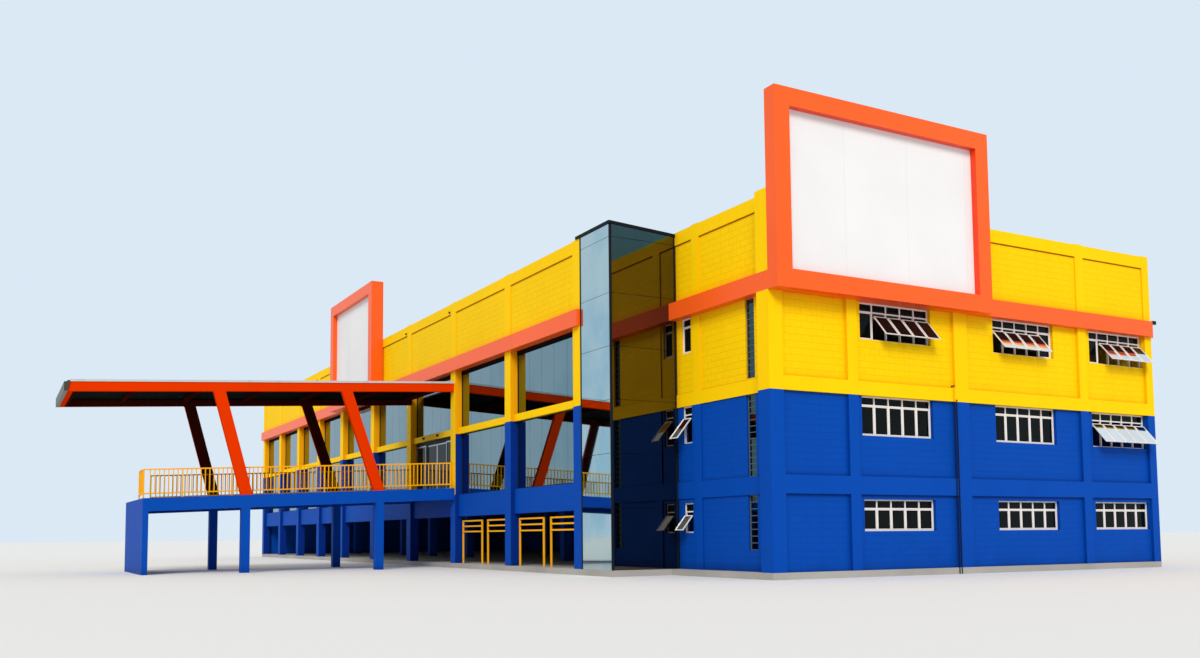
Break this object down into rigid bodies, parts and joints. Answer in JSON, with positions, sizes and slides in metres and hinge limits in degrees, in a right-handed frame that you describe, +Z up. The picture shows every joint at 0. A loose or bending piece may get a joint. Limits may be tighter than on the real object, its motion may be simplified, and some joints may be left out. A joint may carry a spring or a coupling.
{
  "type": "supermarket building, 1:2 scale model",
  "caption": "Corner supermarket in blue and yellow block and concrete with a glazed shopfront, a glass tower, an orange band, bare sign frames and a raked-column canopy over its entrance deck.",
  "frame": {"origin": "middle of the whole model's footprint, on the ground", "axes": "+X along the entrance front to the right as seen from outside, +Y into the building, +Z up"},
  "size_m": [27.7, 17.095, 6.995],
  "materials": {
    "concrete": "bare concrete, lightly stained",
    "roof_metal": "ribbed metal sheet, weathered",
    "blue_paint": "blue paint on concrete and block, satin",
    "yellow_paint": "yellow paint on concrete and block, satin",
    "yellow_metal": "yellow gloss paint on steel",
    "orange_paint": "orange-red paint, satin",
    "orange_metal": "orange-red gloss paint on steel",
    "pale_metal": "pale coated metal sheet",
    "white_frames": "white powder coat",
    "mirror_glass": "dark reflective glass",
    "dark_metal": "dark anodised metal",
    "aluminium": "satin anodised aluminium",
    "white_panel": "bare white acrylic panel"
  },
  "bodies": {
    "building": {"ground_slab": "concrete", "main_floor": "concrete", "upper_floor": "concrete", "roof_slab": "concrete", "roof_sheets": "roof_metal", "blue_columns": "blue_paint", "yellow_columns": "yellow_paint", "inner_columns": "blue_paint", "lower_beams": "blue_paint", "shop_fascia": "blue_paint", "middle_beams": "yellow_paint", "shop_beams": "yellow_paint", "roof_band": "orange_paint", "parapet_panels": "yellow_paint", "coping_beams": "yellow_paint", "right_blue_wall": "blue_paint", "right_yellow_wall": "yellow_paint", "front_blue_wall": "blue_paint", "front_yellow_wall": "yellow_paint", "back_blue_wall": "blue_paint", "back_yellow_wall": "yellow_paint", "left_blue_wall": "blue_paint", "left_yellow_wall": "yellow_paint", "window_frames": "white_frames", "window_glass": "mirror_glass", "tower_frame": "dark_metal", "tower_glass": "mirror_glass", "tower_cap": "dark_metal", "shop_glass": "mirror_glass", "entrance_frame": "aluminium", "entrance_header": "aluminium", "entrance_glass": "mirror_glass", "sign_frames": "orange_paint", "sign_panels": "white_panel", "canopy_beams": "orange_metal", "canopy_roof": "pale_metal", "canopy_columns": "orange_metal", "deck": "blue_paint", "deck_supports": "blue_paint", "near_railing": "yellow_metal", "far_railing": "yellow_metal", "end_railing": "yellow_metal", "guard_rails": "yellow_metal"},
    "left_door": {"left_leaf": "aluminium"},
    "right_door": {"right_leaf": "aluminium"}
  },
  "joints": [
    {"name": "left_door_slide", "type": "slide", "parent": "building", "child": "left_door", "axis": [-1, 0, 0], "range_m": [0, 0.55]},
    {"name": "right_door_slide", "type": "slide", "parent": "building", "child": "right_door", "axis": [1, 0, 0], "range_m": [0, 0.55]}
  ],
  "couplings": [
    {"joint": "right_door_slide", "follows": "left_door_slide", "ratio": 1}
  ]
}
